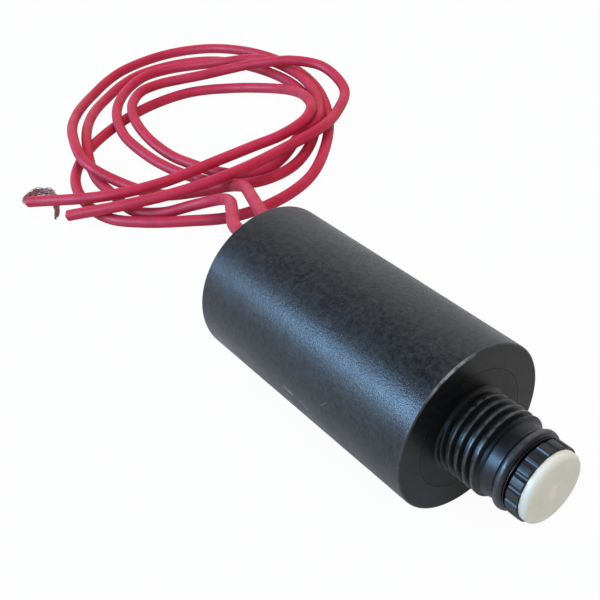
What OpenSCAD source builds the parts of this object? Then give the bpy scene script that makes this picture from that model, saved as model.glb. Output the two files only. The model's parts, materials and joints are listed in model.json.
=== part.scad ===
// Solenoid valve coil: a sealed coil body with a threaded neck, a sprung plunger that
// carries the valve's seal, and two insulated leads. It lies on its side, neck towards +X.

/* [Body] */
// Outside diameter of the coil body
body_d = 37; // [34:0.5:42]
// Length of the coil body, from the rear rim to the seat face
body_l = 65; // [58:0.5:76]
// Thickness of the housing's round wall
body_wall = 3.2; // [2.4:0.1:4]
// Thickness of the housing's front wall and of the seat flange in it
front_wall = 3; // [2:0.1:4]
// Rounding of the housing's rims
rim_r = 0.4; // [0.3:0.1:1.6]
// Depth of the filled rear face below the rear rim
fill_recess = 0.8; // [0.3:0.1:1.5]
// Room behind the rear flux washer for the lead joints
joint_room = 12.5; // [12:0.5:16]

/* [Neck] */
// Major diameter of the neck's thread
thread_d = 18; // [17:0.5:20]
// Length of the threaded stretch
thread_l = 9.4; // [7:0.2:12]
// Fillet where the neck meets the seat face
neck_fillet = 0.6; // [0.3:0.1:2]
// Length of the bevel that ends the thread
thread_bevel = 0.4; // [0.2:0.1:1]
// Diameter at the foot of that bevel, where the taper starts
taper_d = 16.2; // [16:0.1:17]
// Length of the taper in front of the thread
taper_l = 2.1; // [1.5:0.1:3]
// Diameter of the nose in front of the taper
nose_d = 15.6; // [14.6:0.2:16]
// Straight stretch of the nose behind the sealing ring
nose_land = 0.4; // [0.1:0.1:1]
// Lip of the nose in front of the sealing ring
nose_lip = 0.2; // [0.2:0.1:1]
// Diameter of the seat flange that closes the housing's front
seat_d = 26.2; // [24:0.2:27]
// Bore of the guide tube
bore_d = 9.6; // [8.4:0.2:10]
// Wall of the guide tube inside the coil
tube_wall = 1; // [0.8:0.1:1.6]
// Closed end of the guide tube
tube_end = 1.5; // [1:0.1:2.5]

/* [Sealing ring] */
// Section diameter of the sealing ring
ring_section = 2.2; // [2:0.1:3]
// Diameter at the bottom of the ring's groove
groove_d = 12.8; // [11.2:0.1:13]
// Room on each side of the ring in its groove
ring_side = 0.1; // [0.05:0.05:0.3]

/* [Coil] */
// Thickness of the two flux washers
washer_t = 1.6; // [1:0.1:2.4]
// Thickness of the flux sleeve
sleeve_t = 1.6; // [1:0.1:2]
// Slit along the flux sleeve
sleeve_slit = 1.5; // [0.8:0.1:3]
// Wall of the spool's hub
hub_wall = 1; // [0.8:0.1:1.6]
// Thickness of the spool's flanges
flange_t = 1.2; // [0.8:0.1:2]
// How far the spool's flanges stand above the tape
flange_rise = 0.9; // [0.3:0.1:1.5]
// Thickness of the tape round the winding
tape_t = 0.3; // [0.2:0.05:0.6]

/* [Plunger] */
// Travel of the plunger
stroke = 0.5; // [0.4:0.1:1.5]
// Gap that is left at the end of the travel
stop_gap = 0.05; // [0.05:0.05:0.3]
// Radial clearance of the plunger and its stem
plunger_fit = 0.08; // [0.04:0.01:0.1]
// Diameter of the plunger's stem
stem_d = 6; // [5:0.2:7]
// Length of the bush that guides the stem
bush_l = 2.4; // [1.6:0.1:4]
// Length of the fixed pole piece
pole_l = 31; // [24:0.5:36]
// Grooves along the plunger
vent_count = 3; // [2:1:6]
// Radius of each groove
vent_r = 0.6; // [0.3:0.1:0.9]
// Inner diameter of the shading ring in the pole face
shade_in_d = 6.4; // [6:0.1:6.8]
// Width of the shading ring
shade_w = 0.8; // [0.5:0.1:1]
// Depth of the shading ring
shade_l = 1.4; // [1:0.1:2]

/* [Spring] */
// Outside diameter of the return spring
spring_d = 4; // [3.4:0.1:4.4]
// Wire diameter of the return spring
spring_wire = 0.5; // [0.3:0.05:0.6]
// Turns of the return spring
spring_turns = 7; // [5:1:9]
// Depth of the spring's pocket in the plunger
spring_pocket = 8; // [6:0.5:12]
// Depth of the spring's seat in the pole piece
spring_seat = 2.5; // [1.5:0.1:4]

/* [Seal head] */
// Diameter of the fluted carrier
carrier_d = 16; // [14:0.1:16.4]
// Thickness of the fluted carrier
carrier_l = 2.7; // [1.4:0.1:3.2]
// Flutes round the carrier
flute_count = 18; // [8:1:20]
// Width of each flute
flute_w = 1.4; // [0.8:0.1:1.8]
// Depth of each flute
flute_depth = 0.4; // [0.2:0.05:0.6]
// Diameter of the seal disc
disc_d = 15; // [13.6:0.1:16]
// Thickness of the seal disc
disc_l = 1.9; // [1.8:0.1:4]
// Rounding of the seal disc's front edge
disc_edge_r = 1.1; // [0.3:0.1:1.4]
// Diameter of the small raised spot in the disc's middle
nub_d = 3.2; // [1.6:0.1:4]
// Diameter of that spot's flat top
nub_top_d = 1.5; // [0.8:0.1:1.5]
// Height of that spot
nub_h = 0.2; // [0.1:0.05:0.4]
// Diameter of the spigot that holds the disc in the stem
spigot_d = 2.8; // [2:0.1:3.4]
// Length of that spigot
spigot_l = 2.5; // [1.5:0.1:4]

/* [Leads] */
// Outside diameter of a lead's insulation
lead_d = 3.3; // [2.4:0.1:3.4]
// Diameter of a lead's stranded core
core_d = 1.3; // [0.9:0.1:1.4]
// Distance between the two leads where they leave the body
lead_pitch = 7.5; // [5:0.1:9]
// Distance of the leads' row from the inside of the housing's round wall
lead_inset = 4.9; // [4.2:0.1:5.6]
// Angle of the leads' row from straight up
lead_clock = 20; // [0:1:40]
// Width of the terminal block, across both pins
block_w = 12.5; // [12:0.1:14]
// Height of the terminal block, along the radius
block_h = 4; // [3:0.1:4.4]
// How far the terminal block stands behind the rear flux washer
block_rise = 2; // [1.5:0.1:2.5]
// Diameter of a terminal pin
pin_d = 1.2; // [0.8:0.1:1.3]
// Depth of a pin in the terminal block
pin_depth = 2.5; // [1.5:0.1:3]
// Bare stretch of a pin
pin_show = 2; // [1.5:0.1:2.2]
// Length of a splice ferrule
ferrule_l = 5; // [4:0.1:5]
// Wall of a splice ferrule
ferrule_wall = 0.5; // [0.3:0.05:0.7]

/* [Hidden] */
$fn = 72;

// Gaps between pieces: a bonded or pressed face, and a loose seam
bond = 0.02;
seam = 0.1;

// Fineness: steps of a rounded edge, of a spring's turn, and sides of the spring's wire and a lead
arc_steps = 6;
spring_steps = 14;
spring_sides = 6;
lead_sides = 8;

// Places along the neck, from the seat face forwards
thread_end = neck_fillet + thread_l;
taper_start = thread_end + thread_bevel;
taper_end = taper_start + taper_l;
groove_start = taper_end + nose_land;
groove_end = groove_start + ring_section + 2 * ring_side;
nose_end = groove_end + nose_lip;
carrier_start = nose_end + stroke + stop_gap;
carrier_end = carrier_start + carrier_l;
disc_end = carrier_end + disc_l;
reach = disc_end + nub_h;

// Places along the coil, from the seat face back
spool_front = -front_wall - washer_t;
washer_back = -(body_l - joint_room);
spool_back = washer_back + washer_t;
fill_face = -(body_l - fill_recess);
bore_bottom = washer_back + tube_end;
pole_face = bore_bottom + pole_l;
plunger_back = pole_face + stroke + stop_gap;
shoulder = nose_end - bush_l - bond;

// Radii of the coil, from the bore outwards
bore_r = bore_d / 2;
tube_r = bore_r + tube_wall;
hub_r = tube_r + seam + hub_wall;
cavity_r = body_d / 2 - body_wall;
sleeve_r = cavity_r - seam;
sleeve_in_r = sleeve_r - sleeve_t;
spool_r = sleeve_in_r - seam;
tape_r = spool_r - flange_rise;
winding_r = tape_r - tape_t;
plunger_r = bore_r - plunger_fit;
spring_room_r = spring_d / 2 + seam;

// Places along the lead joints, from the terminal block back, a ferrule's radii, and the leads'
// distance from the axis
block_back = washer_back - block_rise;
ferrule_front = block_back - pin_show;
ferrule_back = ferrule_front - ferrule_l;
ferrule_in_r = max(core_d, pin_d) / 2 + bond;
ferrule_r = ferrule_in_r + ferrule_wall;
lead_row = cavity_r - lead_inset;

// The body's middle lies over the origin, and its lowest line on the ground
seat_x = (body_l - reach) / 2;
axis_z = body_d / 2;

// Where each lead leaves the body, in x, y and height above the ground
lead_a_exit = lead_exit(-1);
lead_b_exit = lead_exit(1);

// The leads' routes behind the body: x from the seat face, y, and height above the ground
lead_a_points = [
    [-74, 0, 29], [-88, 7, 23], [-102, 14, 15], [-114, 17, 8], [-123, 13, 4], [-130, 6, 2],
    [-138, 1, 1.7], [-151, 1, 1.7], [-164, 2, 2.2], [-176, 7, 5.6], [-191, 16, 4.4],
    [-203, 28, 1.8], [-208, 43, 1.7], [-203, 57, 1.7], [-192, 68, 1.7], [-175, 74, 1.7],
    [-156, 75, 1.7], [-139, 70, 1.7], [-125, 59, 1.7], [-118, 46, 1.7], [-119, 36, 1.7],
    [-125, 28, 1.7], [-133, 24, 1.7], [-143, 21, 1.7], [-155, 18.5, 3], [-169, 18, 5],
    [-177, 20, 5.3], [-185, 23.5, 5.4], [-193, 29.5, 4.9], [-198, 36.5, 4.7], [-200, 44, 4.5],
    [-197, 52, 4.4], [-191, 59, 4.6], [-183, 66, 5.2], [-176, 73, 5.4], [-170, 76.5, 5],
    [-163, 78.2, 4], [-151, 76.5, 4.7], [-138, 71.5, 5], [-126.5, 62.5, 5.5], [-125, 54, 4.8],
    [-123, 46, 2.6], [-123, 39, 1.7], [-127, 33, 1.7], [-135, 28.5, 1.7], [-144, 26, 1.7],
    [-153, 24, 2.2], [-162, 23, 4.2], [-171, 24, 5.5], [-179, 26.5, 6.1], [-185.5, 30.5, 6.1],
    [-189.5, 36.5, 6], [-188.5, 43, 5.9], [-185, 49, 5.9], [-180.5, 55.5, 6], [-176, 62, 6.4],
    [-171, 67.5, 7.2], [-165, 73, 7.8], [-159, 78.5, 7.8], [-150, 84, 6], [-137, 82, 3.4],
    [-126, 70, 4.8], [-121, 60, 6.4], [-120, 45, 7.4], [-120, 30, 8.6], [-126, 15, 7.4],
    [-136, 0, 6], [-149, -15, 4.2]];
lead_b_points = [
    [-76, 9, 26], [-91, 15, 21], [-104, 21, 14], [-114, 25, 8], [-122, 25, 4.2], [-130, 19, 2],
    [-138, 11, 1.7], [-150, 6, 2.5], [-164, 1, 7], [-180, 5, 8.2], [-197, 14, 4.8],
    [-210, 27, 1.8], [-216, 42, 1.7], [-213, 58, 1.7], [-203, 71, 1.7], [-188, 79, 1.7],
    [-169, 82, 1.7], [-149, 79, 1.7], [-131, 70, 1.7], [-117, 57, 1.7], [-109, 44, 1.7],
    [-108, 31, 1.7], [-112, 19, 1.7], [-121, 9, 1.7], [-131, 0, 1.7], [-141, -6, 1.7],
    [-154, -7, 1.7], [-168, -3, 1.7], [-178, 6, 1.7], [-184, 19, 1.7], [-186, 34, 1.7],
    [-182, 49, 1.7], [-172, 60, 1.7], [-158, 67.5, 3], [-146, 68.5, 5.8], [-136.5, 66.5, 8.2],
    [-129, 63, 9], [-125, 57, 9], [-125, 48, 8.4], [-128, 40, 7.7], [-132, 29, 6.8],
    [-137, 12, 6.2], [-146, -3, 5.8], [-166, -20, 4]];
// The bare strands of lead B, bent back beside its end and under it
strand_b_points = [
    [-168.8, -19.6, 3.7], [-171, -16.8, 3.1], [-172.4, -13.6, 2.3], [-171, -11.2, 1.6],
    [-168.4, -10.8, 1.1], [-165, -11.6, 0.9], [-162, -13, 0.8], [-159, -14.6, 0.8],
    [-156, -16.6, 0.8]];
// Straight stretch of a lead behind the rear face, and of the bare strands at its end
lead_straight = 3;
strand_straight = 1;
// Stub of the strands that shows at the cut end of lead A
stub_l = 0.5;

lead_a_route = concat([lead_a_exit, lead_a_exit - [lead_straight, 0, 0]], lead_a_points);
lead_b_route = concat([lead_b_exit, lead_b_exit - [lead_straight, 0, 0]], lead_b_points);
strand_a_route = [last(lead_a_route), past_end(lead_a_route, stub_l)];
strand_b_route =
    concat([last(lead_b_route), past_end(lead_b_route, strand_straight)], strand_b_points);

function lead_exit(side) =
    let (y = side * lead_pitch / 2)
    [fill_face,
     y * cos(lead_clock) + lead_row * sin(lead_clock),
     axis_z - y * sin(lead_clock) + lead_row * cos(lead_clock)];
function last(list) = list[len(list) - 1];
function past_end(route, by) = last(route) + by * unit(last(route) - route[len(route) - 2]);
function unit(v) = v / norm(v);

// Direction of a route at each of its points
function headings(route) =
    let (steps = [for (i = [1 : len(route) - 1]) unit(route[i] - route[i - 1])])
    [for (i = [0 : len(route) - 1])
        i == 0 ? steps[0] : i == len(steps) ? steps[i - 1] : unit(steps[i] + steps[i - 1])];

// Ring of points round a route's point, square to its heading
function ring_round(centre, heading, ref, r, sides) =
    let (across = unit(cross(heading, ref)), above = cross(across, heading))
    [for (k = [0 : sides - 1])
        centre + r * (cos(360 * k / sides) * across + sin(360 * k / sides) * above)];

// Solid tube along a route, with ref as a direction that the route never takes
module tube_along(route, r, sides, ref) {
    heads = headings(route);
    points = [for (i = [0 : len(route) - 1]) each ring_round(route[i], heads[i], ref, r, sides)];
    end = (len(route) - 1) * sides;
    walls = [for (i = [0 : len(route) - 2], k = [0 : sides - 1])
        let (a = i * sides + k, b = i * sides + (k + 1) % sides)
        each [[a, b, b + sides], [a, b + sides, a + sides]]];
    caps = [[for (k = [sides - 1 : -1 : 0]) k], [for (k = [0 : sides - 1]) end + k]];
    polyhedron(points, concat(walls, caps));
}

// Quarter round of an outline, about a centre
function arc(centre, r, from, to) =
    [for (i = [0 : arc_steps])
        let (turn = from + (to - from) * i / arc_steps)
        centre + r * [cos(turn), sin(turn)]];

// Body of revolution about the valve's axis: outline points are radius and x
module turned(outline) {
    on_axis() rotate([0, 90, 0]) rotate_extrude() polygon(outline);
}

// Plain ring or rod about the valve's axis
module ring(from, to, r_out, r_in = 0) {
    turned([[r_in, from], [r_out, from], [r_out, to], [r_in, to]]);
}

module on_axis() {
    translate([seat_x, 0, axis_z]) children();
}

// Both leads' places, turned to the angle of their row
module at_leads() {
    on_axis() rotate([-lead_clock, 0, 0])
        for (side = [-1, 1])
            translate([0, side * lead_pitch / 2, lead_row]) children();
}

// Rod along x, about the place of a lead
module rod(from, to, r) {
    translate([from, 0, 0]) rotate([0, 90, 0]) cylinder(h = to - from, r = r);
}

// Terminal block's outline, from its root on the spool to a given end, with room round it
module block_shape(from, to, room) {
    on_axis() rotate([-lead_clock, 0, 0])
        translate([from, -block_w / 2 - room, lead_row - block_h / 2 - room])
            cube([to - from, block_w + 2 * room, block_h + 2 * room]);
}

// Moulded cup round the coil, open at the rear, with a hole for the seat flange in front
module housing() {
    color("#26282b")
        turned(concat(
            arc([body_d / 2 - rim_r, -rim_r], rim_r, 0, 90),
            [[seat_d / 2 + seam, 0], [seat_d / 2 + seam, -front_wall], [cavity_r, -front_wall]],
            [[cavity_r, -body_l]],
            arc([body_d / 2 - rim_r, -body_l + rim_r], rim_r, -90, 0)));
}

// Sealing compound behind the coil, cast round the terminals and the leads' ends
module rear_fill() {
    color("#1b1c1e")
        difference() {
            ring(fill_face, washer_back - bond, cavity_r - bond);
            block_shape(block_back - bond, washer_back + seam, bond);
            at_leads() {
                rod(fill_face - seam, ferrule_back, lead_d / 2 + bond);
                rod(ferrule_back - bond, ferrule_front + bond, ferrule_r + bond);
                rod(ferrule_front, block_back, pin_d / 2 + bond);
            }
        }
}

// Guide tube, seat flange and threaded neck in one moulding, closed at the rear
module guide_tube() {
    color("#2b2d30")
        turned(concat(
            [[0, washer_back], [tube_r, washer_back], [tube_r, -front_wall]],
            [[seat_d / 2, -front_wall], [seat_d / 2, 0]],
            arc([thread_d / 2 + neck_fillet, neck_fillet], neck_fillet, 270, 180),
            [[thread_d / 2, thread_end], [taper_d / 2, taper_start]],
            [[nose_d / 2, taper_end], [nose_d / 2, groove_start]],
            [[groove_d / 2, groove_start], [groove_d / 2, groove_end]],
            [[nose_d / 2, groove_end], [nose_d / 2, nose_end]],
            [[bore_r, nose_end], [bore_r, bore_bottom], [0, bore_bottom]]));
}

module neck_o_ring() {
    color("#1a1a1c")
        on_axis() rotate([0, 90, 0])
            rotate_extrude()
                translate([groove_d / 2 + bond + ring_section / 2, (groove_start + groove_end) / 2])
                    circle(d = ring_section);
}

// Spool that slides on the guide tube, with the terminal block on its rear flange
module coil_spool() {
    color("#d8d2c0")
        difference() {
            union() {
                ring(spool_back, spool_front, hub_r, tube_r + seam);
                ring(spool_back, spool_back + flange_t, spool_r, tube_r + seam);
                ring(spool_front - flange_t, spool_front, spool_r, tube_r + seam);
                intersection() {
                    block_shape(block_back, spool_back + flange_t, 0);
                    ring(block_back, spool_back + flange_t, spool_r);
                }
            }
            at_leads() rod(block_back - seam, block_back + pin_depth, pin_d / 2 + bond);
        }
}

module coil_winding() {
    color("#a8562a")
        ring(spool_back + flange_t + bond, spool_front - flange_t - bond, winding_r, hub_r + bond);
}

module winding_tape() {
    color("#d9b23a")
        ring(spool_back + flange_t + bond, spool_front - flange_t - bond, tape_r, winding_r + bond);
}

// Rolled steel sleeve round the spool, with a slit along its lower side
module flux_sleeve() {
    color("#8d9094")
        difference() {
            ring(spool_back + bond, spool_front - bond, sleeve_r, sleeve_in_r);
            on_axis() translate([spool_back - seam, -sleeve_slit / 2, -body_d / 2])
                cube([spool_front - spool_back + 2 * seam, sleeve_slit, body_d / 2]);
        }
}

module front_flux_washer() {
    color("#9a9da1")
        ring(spool_front + bond, -front_wall - bond, sleeve_r, tube_r + seam);
}

// Washer behind the spool, with a window for the terminal block
module rear_flux_washer() {
    color("#9a9da1")
        difference() {
            ring(washer_back, spool_back - bond, sleeve_r, tube_r + seam);
            block_shape(washer_back - seam, spool_back + seam, seam);
        }
}

// Fixed iron core, pressed to the bottom of the guide tube
module pole_piece() {
    color("#a9acb0")
        turned([
            [0, bore_bottom + bond], [bore_r - bond, bore_bottom + bond], [bore_r - bond, pole_face],
            [shade_in_d / 2 + shade_w + bond, pole_face],
            [shade_in_d / 2 + shade_w + bond, pole_face - shade_l],
            [shade_in_d / 2 - bond, pole_face - shade_l], [shade_in_d / 2 - bond, pole_face],
            [spring_room_r, pole_face], [spring_room_r, pole_face - spring_seat],
            [0, pole_face - spring_seat]]);
}

// Copper ring let into the pole face
module shading_ring() {
    color("#b9683a")
        ring(pole_face - shade_l + bond, pole_face, shade_in_d / 2 + shade_w, shade_in_d / 2);
}

// Plunger with its spring pocket at the rear, vent grooves and a stem for the seal's carrier
module plunger() {
    color("#b4b7ba")
        difference() {
            turned([
                [spring_room_r, plunger_back], [plunger_r, plunger_back], [plunger_r, shoulder],
                [stem_d / 2, shoulder], [stem_d / 2, carrier_end],
                [spigot_d / 2 + bond, carrier_end], [spigot_d / 2 + bond, carrier_end - spigot_l - seam],
                [0, carrier_end - spigot_l - seam], [0, plunger_back + spring_pocket],
                [spring_room_r, plunger_back + spring_pocket]]);
            on_axis()
                for (i = [1 : vent_count])
                    rotate([360 * i / vent_count, 0, 0]) translate([0, 0, plunger_r])
                        rod(plunger_back - seam, shoulder + seam, vent_r);
        }
}

// Return spring between the pole piece and the bottom of the plunger's pocket
module plunger_spring() {
    from = pole_face - spring_seat + spring_wire / 2 + bond;
    to = plunger_back + spring_pocket - spring_wire / 2 - bond;
    coil_r = (spring_d - spring_wire) / 2;
    steps = spring_steps * spring_turns;
    helix = [for (i = [0 : steps])
        let (turn = 360 * spring_turns * i / steps)
        [from + (to - from) * i / steps, coil_r * cos(turn), coil_r * sin(turn)]];
    color("#c8cbce")
        on_axis() tube_along(helix, spring_wire / 2, spring_sides, [1, 0, 0]);
}

// Bush pressed into the mouth of the guide tube, which keeps the plunger in
module stem_bush() {
    color("#3a3c3f")
        ring(nose_end - bush_l, nose_end, bore_r - bond, stem_d / 2 + plunger_fit);
}

// Fluted ring on the stem's end that the seal disc sits on
module seal_carrier() {
    flute_r = flute_w / 2;
    color("#1f2124")
        difference() {
            ring(carrier_start, carrier_end - bond, carrier_d / 2, stem_d / 2 + bond);
            on_axis()
                for (i = [1 : flute_count])
                    rotate([360 * i / flute_count, 0, 0])
                        translate([0, 0, carrier_d / 2 + flute_r - flute_depth])
                            rod(carrier_start - seam, carrier_end + seam, flute_r);
        }
}

// Soft disc that closes the valve's pilot hole, held by a spigot in the stem
module seal_disc() {
    color("#d6d1bd")
        turned(concat(
            [[0, carrier_end - spigot_l], [spigot_d / 2, carrier_end - spigot_l]],
            [[spigot_d / 2, carrier_end], [disc_d / 2, carrier_end]],
            arc([disc_d / 2 - disc_edge_r, disc_end - disc_edge_r], disc_edge_r, 0, 90),
            [[nub_d / 2, disc_end], [nub_top_d / 2, reach], [0, reach]]));
}

module terminal_pins() {
    color("#c9a24a")
        at_leads() rod(ferrule_front - ferrule_l / 2 + bond, block_back + pin_depth - bond, pin_d / 2);
}

module splice_ferrules() {
    color("#c4c6c8")
        at_leads()
            difference() {
                rod(ferrule_back, ferrule_front, ferrule_r);
                rod(ferrule_back - seam, ferrule_front + seam, ferrule_in_r);
            }
}

// Ends of the two leads inside the sealing compound, with the core in its ferrule
module lead_tails() {
    color("#c22a48")
        at_leads() {
            rod(fill_face, ferrule_back - bond, lead_d / 2);
            rod(ferrule_back - seam, ferrule_back + ferrule_l / 2 - bond, core_d / 2);
        }
}

module lead(route, r) {
    translate([seat_x, 0, 0]) tube_along(route, r, lead_sides, [0, 0, 1]);
}

module lead_a() {
    color("#c92f50") lead(lead_a_route, lead_d / 2);
}

module lead_b() {
    color("#c92f50") lead(lead_b_route, lead_d / 2);
}

module lead_a_strands() {
    color("#8d8a88") lead(strand_a_route, core_d / 2);
}

module lead_b_strands() {
    color("#8d8a88") lead(strand_b_route, core_d / 2);
}

housing();
rear_fill();
guide_tube();
neck_o_ring();
coil_spool();
coil_winding();
winding_tape();
flux_sleeve();
front_flux_washer();
rear_flux_washer();
pole_piece();
shading_ring();
plunger();
plunger_spring();
stem_bush();
seal_carrier();
seal_disc();
terminal_pins();
splice_ferrules();
lead_tails();
lead_a();
lead_b();
lead_a_strands();
lead_b_strands();
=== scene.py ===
"""Looks of a solenoid valve coil: a sealed black coil body with a threaded neck, a sealing ring, a
fluted seal head and two pink-red leads in loose loops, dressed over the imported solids."""

import json
import math
import random
from typing import NamedTuple

import bpy
from mathutils import Euler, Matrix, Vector

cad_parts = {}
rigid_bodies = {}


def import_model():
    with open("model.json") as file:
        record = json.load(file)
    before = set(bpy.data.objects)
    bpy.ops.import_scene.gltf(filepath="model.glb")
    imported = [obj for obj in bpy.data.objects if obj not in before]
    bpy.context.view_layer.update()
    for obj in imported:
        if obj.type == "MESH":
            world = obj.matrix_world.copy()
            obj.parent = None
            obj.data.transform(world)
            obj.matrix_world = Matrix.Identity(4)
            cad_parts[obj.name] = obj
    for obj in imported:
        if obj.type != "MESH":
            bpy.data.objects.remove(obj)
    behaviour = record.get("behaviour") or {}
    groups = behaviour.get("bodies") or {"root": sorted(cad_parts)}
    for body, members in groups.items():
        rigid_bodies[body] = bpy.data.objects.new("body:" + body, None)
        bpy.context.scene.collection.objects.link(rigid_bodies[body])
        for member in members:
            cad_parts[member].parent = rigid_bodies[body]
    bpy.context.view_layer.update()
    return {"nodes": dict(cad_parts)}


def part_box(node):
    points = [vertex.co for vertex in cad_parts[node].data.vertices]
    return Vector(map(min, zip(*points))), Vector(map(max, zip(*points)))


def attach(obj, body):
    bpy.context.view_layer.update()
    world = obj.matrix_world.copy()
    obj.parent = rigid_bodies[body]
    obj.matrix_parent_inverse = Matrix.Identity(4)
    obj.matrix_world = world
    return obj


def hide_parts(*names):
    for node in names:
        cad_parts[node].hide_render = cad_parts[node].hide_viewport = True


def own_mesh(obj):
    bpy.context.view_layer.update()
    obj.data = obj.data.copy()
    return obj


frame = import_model()

MM = 0.001

# Places and sizes on the coil, from the frame
REAR_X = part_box("housing")[0].x
SEAT_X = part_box("housing")[1].x
BODY_R = (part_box("housing")[1].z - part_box("housing")[0].z) / 2
AXIS_Y = (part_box("housing")[0].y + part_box("housing")[1].y) / 2
AXIS_Z = (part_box("housing")[0].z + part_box("housing")[1].z) / 2
FILL_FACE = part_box("rear_fill")[0].x
CAVITY_R = (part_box("rear_fill")[1].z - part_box("rear_fill")[0].z) / 2
NOSE_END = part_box("guide_tube")[1].x
TUBE_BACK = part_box("guide_tube")[0].x
SEAT_R = (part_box("guide_tube")[1].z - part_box("guide_tube")[0].z) / 2
RING_BACK, RING_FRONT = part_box("neck_o_ring")[0].x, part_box("neck_o_ring")[1].x
RING_R = (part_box("neck_o_ring")[1].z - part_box("neck_o_ring")[0].z) / 2
CARRIER_BACK, CARRIER_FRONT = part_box("seal_carrier")[0].x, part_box("seal_carrier")[1].x
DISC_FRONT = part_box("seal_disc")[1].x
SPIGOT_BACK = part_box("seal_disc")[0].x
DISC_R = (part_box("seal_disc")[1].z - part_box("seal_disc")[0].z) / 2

# The thread on the neck: radii of its crests, of its grooves and of the last groove, and its pitch
NECK_R = 9 * MM
ROOT_R = 7.9 * MM
RUNOUT_R = 8.1 * MM
PITCH = 2 * MM
# Where the thread starts and ends and where a crest lies straight above the axis, from the seat face
THREAD_START = 0.1 * MM
THREAD_END = 10 * MM
CREST_X = 0.36 * MM
# Shares of the pitch that the flat crest, the flat root, the first cut and the runout take
CREST_SHARE = 0.2
ROOT_SHARE = 0.2
START_SHARE = 0.2
RUNOUT_SHARE = 0.6

# Leads: outside radius, and radius of one wire of the bare core
LEAD_R = 1.65 * MM
WIRE_R = 0.1 * MM


# Node trees, written as Python expressions
class Value:
    """A socket that takes part in expressions: each operator adds one Math node."""

    def __init__(self, graph, socket):
        self.graph = graph
        self.socket = socket

    def math(self, operation, *terms):
        """Adds a Math node in the same tree."""
        return self.graph.add("ShaderNodeMath", {"operation": operation}, dict(enumerate(terms)))

    def __add__(self, other):
        return self.math("ADD", self, other)

    def __radd__(self, other):
        return self.math("ADD", other, self)

    def __sub__(self, other):
        return self.math("SUBTRACT", self, other)

    def __rsub__(self, other):
        return self.math("SUBTRACT", other, self)

    def __mul__(self, other):
        return self.math("MULTIPLY", self, other)

    def __rmul__(self, other):
        return self.math("MULTIPLY", other, self)

    def __truediv__(self, other):
        return self.math("DIVIDE", self, other)

    def __rtruediv__(self, other):
        return self.math("DIVIDE", other, self)

    def __mod__(self, other):
        return self.math("FLOORED_MODULO", self, other)

    def __pow__(self, other):
        return self.math("POWER", self, other)

    def __gt__(self, other):
        return self.math("GREATER_THAN", self, other)

    def __abs__(self):
        return self.math("ABSOLUTE", self)

    def floor(self):
        return self.math("FLOOR", self)

    def sin(self):
        return self.math("SINE", self)

    def cos(self):
        return self.math("COSINE", self)

    def root(self):
        return self.math("SQRT", self)

    def least(self, other):
        return self.math("MINIMUM", self, other)

    def most(self, other):
        return self.math("MAXIMUM", self, other)

    def step(self, low, high):
        """0 below low, 1 above high, and smooth between them; low may be the larger one."""
        ends = {0: self, 1: low, 2: high, 3: 0.0, 4: 1.0}
        return self.graph.add("ShaderNodeMapRange", {"interpolation_type": "SMOOTHSTEP"}, ends)

    def to(self, low, high):
        """Stretches a value of 0 to 1 to the range from low to high."""
        return self.graph.add("ShaderNodeMapRange", {}, {0: self, 1: 0.0, 2: 1.0, 3: low, 4: high})


class Graph:
    """A node tree that one method fills."""

    def __init__(self, tree):
        self.tree = tree

    def plug(self, socket, value):
        """Links a value to a socket, or sets the socket to a plain one."""
        if isinstance(value, Value):
            self.tree.links.new(value.socket, socket)
        else:
            socket.default_value = value

    def add(self, kind, settings=None, sockets=None, out=0):
        """Adds a node: its settings first, a ramp's stops among them, then values or links. Gives one
        of its outputs, or all of them where out is None."""
        node = self.tree.nodes.new(kind)
        for name, value in (settings or {}).items():
            if name == "stops":
                self.set_stops(node.color_ramp.elements, value)
            else:
                setattr(node, name, value)
        for key, value in (sockets or {}).items():
            self.plug(node.inputs[key], value)
        if out is None:
            return [Value(self, socket) for socket in node.outputs]
        return Value(self, node.outputs[out])

    @staticmethod
    def set_stops(elements, stops):
        """Puts grey stops on a ramp."""
        while len(elements) < len(stops):
            elements.new(1)
        for element, (place, level) in zip(elements, stops):
            element.position = place
            element.color = (level, level, level, 1)

    def parts_of(self, vector):
        """The three numbers of a vector."""
        return self.add("ShaderNodeSeparateXYZ", {}, {0: vector}, None)

    def blend(self, share, first, second):
        """A colour between two colours, or between a colour and a link."""
        ends = {0: share, 6: self.colour(first), 7: self.colour(second)}
        return self.add("ShaderNodeMix", {"data_type": "RGBA"}, ends, 2)

    @staticmethod
    def colour(value):
        """A link as it is, or a plain colour with its alpha."""
        return value if isinstance(value, Value) else (*value, 1)


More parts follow.
